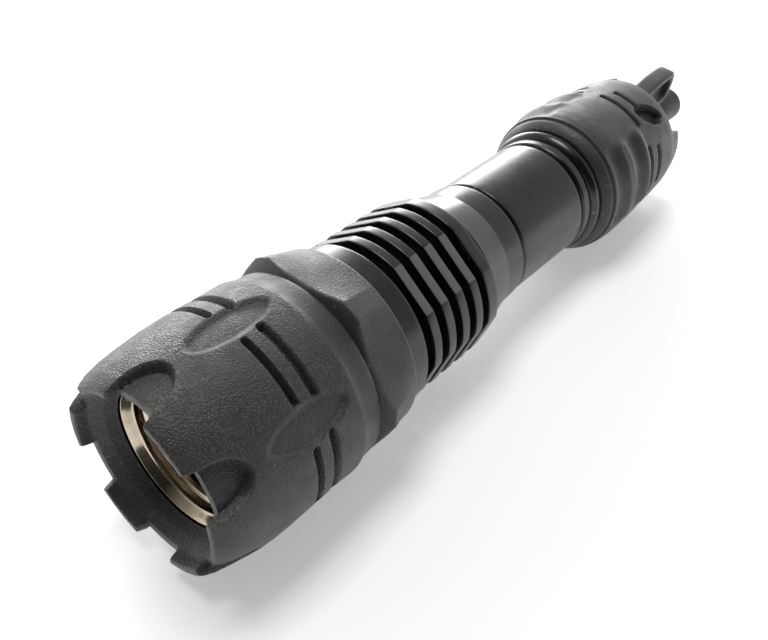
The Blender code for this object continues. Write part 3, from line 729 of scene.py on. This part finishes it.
def shape_tube(x, r, turns):
    """Cuts a screw thread into the necks at both ends of the tube."""
    phase = (x / THREAD_PITCH - turns / tau) % 1.0
    groove = THREAD_DEPTH * (1 - np.abs(2 * phase - 1)) ** 0.8
    rear = smooth(-22.6, -23.4, x) * smooth(-29.6, -29.0, x)
    front = smooth(9.6, 9.0, x) * smooth(0.6, 1.4, x)
    on_thread = (np.abs(r - THREAD_R) < 0.01) * (rear + front)
    return x, r - groove * on_thread


def battery_tube(shades):
    neck = THREAD_R
    outside = [
        (-34.0, 9.6),
        (-34.0, 11.0, 0.1),
        (-33.6, neck, 0.1),
        (-31.8, neck, 0.1),
        (-31.8, 10.05, 0.1),
        (-30.2, 10.05, 0.1),
        (-30.2, neck, 0.1),
    ]
    thread_rear = [(x, neck) for x in np.arange(-29.8, -22.2, THREAD_STEP)]
    middle = [
        (-22.0, neck),
        (-21.65, neck),
        (-21.65, 12.3, 0.08),
        (-21.25, TUBE_R, 0.15),
        (-0.5, TUBE_R, 0.12),
        (-0.15, 12.35, 0.08),
        (-0.15, neck),
    ]
    thread_front = [(x, neck) for x in np.arange(0.2, 10.0, THREAD_STEP)]
    front_end = [
        (10.2, neck, 0.1),
        (10.2, 10.05, 0.1),
        (11.8, 10.05, 0.1),
        (11.8, neck, 0.1),
        (13.8, neck, 0.1),
        (14.2, 11.0, 0.1),
        (14.2, 9.6),
    ]
    path = fine_path(outside + thread_rear + middle + thread_front + front_end, 1.2)
    tube = skin("battery_tube_skin", path, METAL_SEGMENTS, 32.0, shape_tube)
    place(tube, shades["black_anodised"], "head", "black_anodised", "battery_tube")


# ---------------------------------------------------------------- tail

NOTCH_TURN = 27.0
NOTCH_HALF_ANGLE = radians(46.0)
NOTCH_RIM = -59.2
NOTCH_R = 12.5  # near the middle of the rim's wall
PAD_TURN = 18.0
RIB_PITCH, RIB_DEPTH, RIB_X = 8.0, 0.65, -32.4
TAIL_SLOT_TURN = 24.5
TAIL_SLOTS = ((-46.4, 5.9), (-50.5, 4.6))  # station, half length
TAIL_SLOT_HALF_WIDTH, TAIL_SLOT_DEPTH = 0.6, 1.3
HOLE_X, HOLE_TURN, HOLE_SLANT = -52.6, 41.5, 0.4
HOLE_HALF_LENGTH, HOLE_HALF_WIDTH, HOLE_DEPTH = 3.9, 2.6, 2.6
HOLE_FLOOR_R = 13.35
# painted shade: between these stations the cord hole's floor is coloured black
HOLE_SHADE_REAR, HOLE_SHADE_FRONT = -57.5, -47.0  # stations between which the hole's floor is black
BOOT_FRONT = -30.2  # front of the boot's barrel, behind its lip
BOOT_LIP = -27.5

tail_outline = blurred(
    [BOOT_RIM, -63.6, -62.0, -60.8, -57.4, -52.7, -47.0, -42.3, -37.6, -33.9, -31.6, -30.4],
    [12.95, 13.35, 13.75, 14.0, 14.75, 15.2, 15.55, 15.9, 16.1, 16.2, 16.05, 15.75],
    0.45,
)


def shape_tail_boot(x, r, turns):
    outer = (r > 12.2) & (x < BOOT_FRONT)
    body = tail_outline(x)
    pad = inside(np.abs(nearest_of(turns, 3, PAD_TURN)) - radians(29), radians(5))
    reach = smooth(-46.5, -43.5, x) * smooth(BOOT_FRONT, BOOT_FRONT - 1.2, x)
    wave = -RIB_DEPTH * np.cos(tau * (x - RIB_X) / RIB_PITCH)
    body = body + wave * reach * (1 - pad)

    arc = body * nearest_of(turns, GRIP_REPEATS, TAIL_SLOT_TURN)
    for station, half_length in TAIL_SLOTS:
        slot = bar_edge(x - station, arc, TAIL_SLOT_HALF_WIDTH, half_length)
        body = body - TAIL_SLOT_DEPTH * inside(slot, 0.28)
    slanted = body * wrap(turns - radians(HOLE_TURN)) + HOLE_SLANT * (x - HOLE_X)
    hole = ellipse_edge(x - HOLE_X, slanted, HOLE_HALF_LENGTH, HOLE_HALF_WIDTH)
    body = body - HOLE_DEPTH * inside(hole, 0.25)
    body = np.where(x > -57.0, np.maximum(body, HOLE_FLOOR_R), body)
    r = np.where(outer & (r > HOLE_FLOOR_R + 0.1), np.minimum(r, body), r)

    facing = np.abs((turns - radians(NOTCH_TURN) + pi / 2) % pi - pi / 2)
    notch = inside((facing - NOTCH_HALF_ANGLE) * NOTCH_R, 0.3)
    past_rim = np.maximum(NOTCH_RIM - x, 0.0)
    return x + NEAR_FLAT * past_rim * notch, r


def tail_boot(shades):
    path = fine_path(
        [
            (-55.6, 13.3),
            (-55.6, 5.2),
            (-56.8, 5.2, 0.2),
            (-56.8, 11.3, 0.4),
            (BOOT_RIM + 0.1, 11.45, 0.3),
            (BOOT_RIM, 12.0, 0.3),
            (BOOT_RIM, 12.75, 0.35),
            (BOOT_RIM + 0.55, 13.3, 0.3),
            (-61.9, 13.72),
            (-61.9, 16.6),
            (-30.35, 16.6, 0.1),
            (BOOT_FRONT, 15.45, 0.15),
            (-29.9, 15.0, 0.15),
            (-29.55, 15.35, 0.2),
            (-29.0, 15.3, 0.3),
            (-28.1, 14.6, 0.4),
            (BOOT_LIP, 13.9, 0.2),
            (BOOT_LIP, 13.3),
        ],
        RUBBER_STEP,
    )
    boot = skin("tail_boot_skin", path, BOOT_SEGMENTS, 60.0, shape_tail_boot)
    place(boot, shades["grip_rubber"], "tailcap", "grip_rubber", "tail_boot")


def tailcap(shades):
    path = fine_path(
        [
            (-55.3, 4.7),
            (-55.3, 13.0, 0.2),
            (-27.2, 13.0),
            (-27.2, 13.25, 0.1),
            (-26.9, 13.75, 0.3),
            (-26.1, 13.95, 0.4),
            (-25.3, 13.7, 0.4),
            (-24.7, 13.1, 0.2),
            (-24.6, 12.6, 0.1),
            (-24.4, 12.6, 0.1),
            (-24.25, 12.9, 0.12),
            (-22.35, 12.9, 0.2),
            (-21.95, 12.5, 0.1),
            (-21.95, 11.7, 0.1),
            (-36.0, 11.7),
            (-36.0, 10.6),
            (-50.6, 10.6),
            (-50.6, 7.9),
            (-51.7, 7.9),
            (-51.7, 4.7),
        ],
        0.6,
    )
    cap = skin("tailcap_skin", path, METAL_SEGMENTS, 32.0)
    place(cap, shades["black_anodised"], "tailcap", "black_anodised", "tailcap_housing")


LOOP_TURN = 11.0
LOOP_FOOT, LOOP_ARCH = -57.2, -74.6  # stations of its feet and of where its legs end
LOOP_OUTER_R, LOOP_INNER_R = 11.9, 5.1
LOOP_HALF_WIDTH, LOOP_HALF_THICKNESS = 2.25, 0.95
LOOP_SIDES = 20
ARCH_STEPS = 16


def lanyard_loop(shades):
    """A flat rubber band with round edges, bent into a U and narrower at its tip."""
    wide = Vector((0.0, sin(radians(LOOP_TURN + 90)), cos(radians(LOOP_TURN + 90))))
    inward = Vector((0.0, -sin(radians(LOOP_TURN)), -cos(radians(LOOP_TURN))))
    outer_leg = ((LOOP_FOOT, -10.0), (-59.0, -10.03), (-61.0, -10.1))
    outer_leg += ((-63.5, -10.5), (-66.0, -11.0))
    route = [(*spot, 1.0) for spot in outer_leg]
    route += [(-68.5, -11.45, 1.0), (-71.5, -11.75, 0.97)]
    arch_r = (LOOP_OUTER_R - LOOP_INNER_R) / 2
    for step in range(ARCH_STEPS + 1):
        angle = pi * step / ARCH_STEPS
        x, offset = LOOP_ARCH - arch_r * sin(angle), arch_r * (1 - cos(angle)) - LOOP_OUTER_R
        route.append((x, offset, 0.94 - 0.24 * sin(angle)))
    route += [(x, -LOOP_INNER_R, 0.97) for x in np.linspace(LOOP_ARCH, LOOP_FOOT, 8)[1:]]
    points, faces = [], []
    for step, (x, offset, share) in enumerate(route):
        before = Vector(route[max(step - 1, 0)][:2])
        after = Vector(route[min(step + 1, len(route) - 1)][:2])
        along = (after - before).normalized()
        outward = Vector((-along.y, along.x))
        for side in range(LOOP_SIDES):
            turn = tau * side / LOOP_SIDES
            # a superellipse keeps the band flat with round edges
            out = LOOP_HALF_THICKNESS * np.sign(sin(turn)) * abs(sin(turn)) ** 0.5
            spread = LOOP_HALF_WIDTH * share * np.sign(cos(turn)) * abs(cos(turn)) ** 0.5
            in_plane = Vector((x, offset)) + outward * float(out)
            spot = Vector((in_plane.x, 0, 0)) + inward * in_plane.y + wide * float(spread)
            points.append((spot.x * MM, spot.y * MM, (spot.z + AXIS_Z) * MM))
    for step in range(len(route) - 1):
        for side in range(LOOP_SIDES):
            start, beside = step * LOOP_SIDES + side, step * LOOP_SIDES + (side + 1) % LOOP_SIDES
            faces.append((start, beside, beside + LOOP_SIDES, start + LOOP_SIDES))
    faces.append(tuple(range(LOOP_SIDES))[::-1])
    faces.append(tuple(range((len(route) - 1) * LOOP_SIDES, len(route) * LOOP_SIDES)))
    band = add_object("lanyard_loop_band", points, faces, 60.0)
    if signed_volume(band.data) < 0:
        band.data.flip_normals()
    smoothing = band.modifiers.new("smoothing", "SUBSURF")
    smoothing.levels = smoothing.render_levels = 1
    place(band, shades["grip_rubber"], "tailcap", "grip_rubber", "lanyard_loop")


def switch_button(shades):
    button_r, flange_r = 4.1, 7.3
    flange_rear, flange_front = -50.3, -49.2
    path = fine_path(
        [
            (BUTTON_TIP, 0),
            (BUTTON_TIP + 0.1, 3.0, 0.5),
            (BUTTON_TIP + 0.15, button_r, 0.5),
            (-70.0, button_r, 0.2),
            (flange_rear, button_r),
            (flange_rear, flange_r, 0.2),
            (flange_front, flange_r, 0.2),
            (flange_front, 0),
        ],
        0.5,
    )
    button = skin("switch_button_skin", path, 120, 35.0)
    place(button, shades["button_rubber"], "button", "button_rubber", "switch_button")


# ---------------------------------------------------------------- hidden CAD nodes


def dress_cad_nodes(shades):
    """The pieces inside keep their CAD meshes and get finished materials."""
    slots = {entry["node"]: entry["material_slot"] for entry in frame["record"]["subparts"]}
    for name, node in frame["nodes"].items():
        if node.hide_render:
            continue
        node.data.materials.clear()
        node.data.materials.append(shades[slots[name]])


# ---------------------------------------------------------------- stage

CAMERA_AT = (126.85, 91.44, 100.38)  # from the joint between head and tube, on the axis
CAMERA_AZIMUTH, CAMERA_ELEVATION, CAMERA_ROLL = 132.75, 37.49, -3.01
CAMERA_LENS, SENSOR_WIDTH = 42.19, 36.0
BARREL_REST_X = 66.5  # where the head's barrel touches the floor
TAIL_REST_X, TAIL_REST_R = -35.0, 16.25
FLOOR_HALF = 2500.0
TENT_COLOUR = (1.0, 0.985, 0.96, 1.0)
TENT_FADES = (  # direction, then the span over which the brightness changes, and its two values
    ((-0.66, -0.75, 0.05), (-0.5, 0.8, 0.05, 1.5)),
    ((0.0, 0.0, 1.0), (0.2, 0.75, 1.0, 0.35)),
)


def camera():
    data = bpy.data.cameras.new("camera")
    data.lens = CAMERA_LENS
    data.sensor_width = SENSOR_WIDTH
    data.clip_start, data.clip_end = 0.01, 20.0
    eye = bpy.data.objects.new("camera", data)
    bpy.context.scene.collection.objects.link(eye)
    turn, rise = radians(CAMERA_AZIMUTH), radians(CAMERA_ELEVATION)
    back = Vector((sin(turn) * cos(rise), -cos(turn) * cos(rise), sin(rise)))
    eye.rotation_mode = "QUATERNION"
    roll = Quaternion((0.0, 0.0, 1.0), radians(CAMERA_ROLL))
    eye.rotation_quaternion = (-back).to_track_quat("-Z", "Y") @ roll
    x, y, z = CAMERA_AT
    eye.location = (x * MM, y * MM, (z + AXIS_Z) * MM)
    bpy.context.scene.camera = eye


def floor():
    """The light rests on its barrel and on its tail boot, so the floor leans with it."""
    clearance = 0.05
    slope = (AXIS_Z - TAIL_REST_R) / (TAIL_REST_X - BARREL_REST_X)
    points = []
    for side_x, side_y in ((-1, -1), (1, -1), (1, 1), (-1, 1)):
        x, y = side_x * FLOOR_HALF, side_y * FLOOR_HALF
        points.append((x * MM, y * MM, (slope * (x - BARREL_REST_X) - clearance) * MM))
    ground = add_object("floor", points, [(0, 1, 2, 3)], None)
    glow = {"Emission_Color": (1.0, 1.0, 1.0, 1.0), "Emission_Strength": 0.38}
    shader = Shader("floor_paper", (0.86, 0.86, 0.87), 0.75, Specular_IOR_Level=0.2, **glow)
    shader.bump(shader.noise(900, 3.0), 0.05, 0.05)
    ground.data.materials.append(shader.material)


def soft_light(name, location, target, size, power):
    data = bpy.data.lights.new(name, "AREA")
    data.shape = "RECTANGLE"
    data.size, data.size_y = size
    data.energy = power
    lamp = bpy.data.objects.new(name, data)
    bpy.context.scene.collection.objects.link(lamp)
    lamp.location = location
    lamp.rotation_mode = "QUATERNION"
    lamp.rotation_quaternion = (Vector(target) - Vector(location)).to_track_quat("-Z", "Y")


def lights():
    """A white tent: bright low down behind the light, darker overhead and on the camera's side."""
    world = bpy.data.worlds.new("studio")
    world.use_nodes = True
    tree = world.node_tree
    background = tree.nodes["Background"]
    background.inputs["Color"].default_value = TENT_COLOUR
    direction = tree.nodes.new("ShaderNodeTexCoord").outputs["Generated"]
    strength = tree.nodes.new("ShaderNodeMath")
    strength.operation = "MULTIPLY"
    for index, (axis, reach) in enumerate(TENT_FADES):
        towards = tree.nodes.new("ShaderNodeVectorMath")
        towards.operation = "DOT_PRODUCT"
        towards.inputs[1].default_value = axis
        fade = tree.nodes.new("ShaderNodeMapRange")
        for socket, value in zip(fade.inputs[1:5], reach):
            socket.default_value = value
        tree.links.new(direction, towards.inputs[0])
        tree.links.new(towards.outputs["Value"], fade.inputs["Value"])
        tree.links.new(fade.outputs["Result"], strength.inputs[index])
    tree.links.new(strength.outputs["Value"], background.inputs["Strength"])
    bpy.context.scene.world = world
    bpy.context.scene.view_settings.view_transform = "Standard"
    middle = (0.0, 0.0, 0.02)
    soft_light("window", (-0.64, -0.82, 0.27), middle, size=(1.1, 0.4), power=12.0)
    soft_light("overhead", (0.0, -0.08, 0.9), middle, size=(0.45, 0.35), power=4.0)


def build():
    camera()
    floor()
    lights()
    shades = make_materials()
    head_boot(shades)
    head_housing(shades)
    bezel(shades)
    lens(shades)
    reflector(shades)
    led(shades)
    battery_tube(shades)
    tailcap(shades)
    tail_boot(shades)
    lanyard_loop(shades)
    switch_button(shades)
    dress_cad_nodes(shades)


build()
